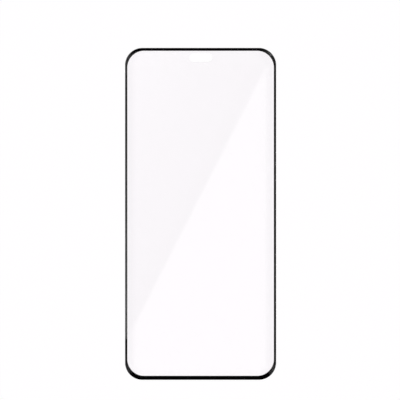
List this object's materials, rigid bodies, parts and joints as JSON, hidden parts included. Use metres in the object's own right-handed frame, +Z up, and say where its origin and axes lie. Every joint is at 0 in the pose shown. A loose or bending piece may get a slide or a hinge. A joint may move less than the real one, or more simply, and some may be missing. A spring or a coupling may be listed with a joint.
{
  "type": "phone screen protector",
  "caption": "Clear tempered-glass screen protector for a phone, with round corners, a black border printed under its rim and an earpiece slot near the top edge.",
  "frame": {"origin": "middle of the flat underside, the face that goes against the phone's screen", "axes": "+X to the right and +Y towards the earpiece end, both seen from above; +Z up, away from the phone's screen"},
  "size_m": [0.07, 0.1538, 0.0004],
  "materials": {
    "clear_glass": "polished, clear, with a ground rim",
    "black_ink": "opaque printed ink, seen through the glass"
  },
  "bodies": {
    "root": {"glass_sheet": "clear_glass", "black_border": "black_ink"}
  },
  "joints": []
}
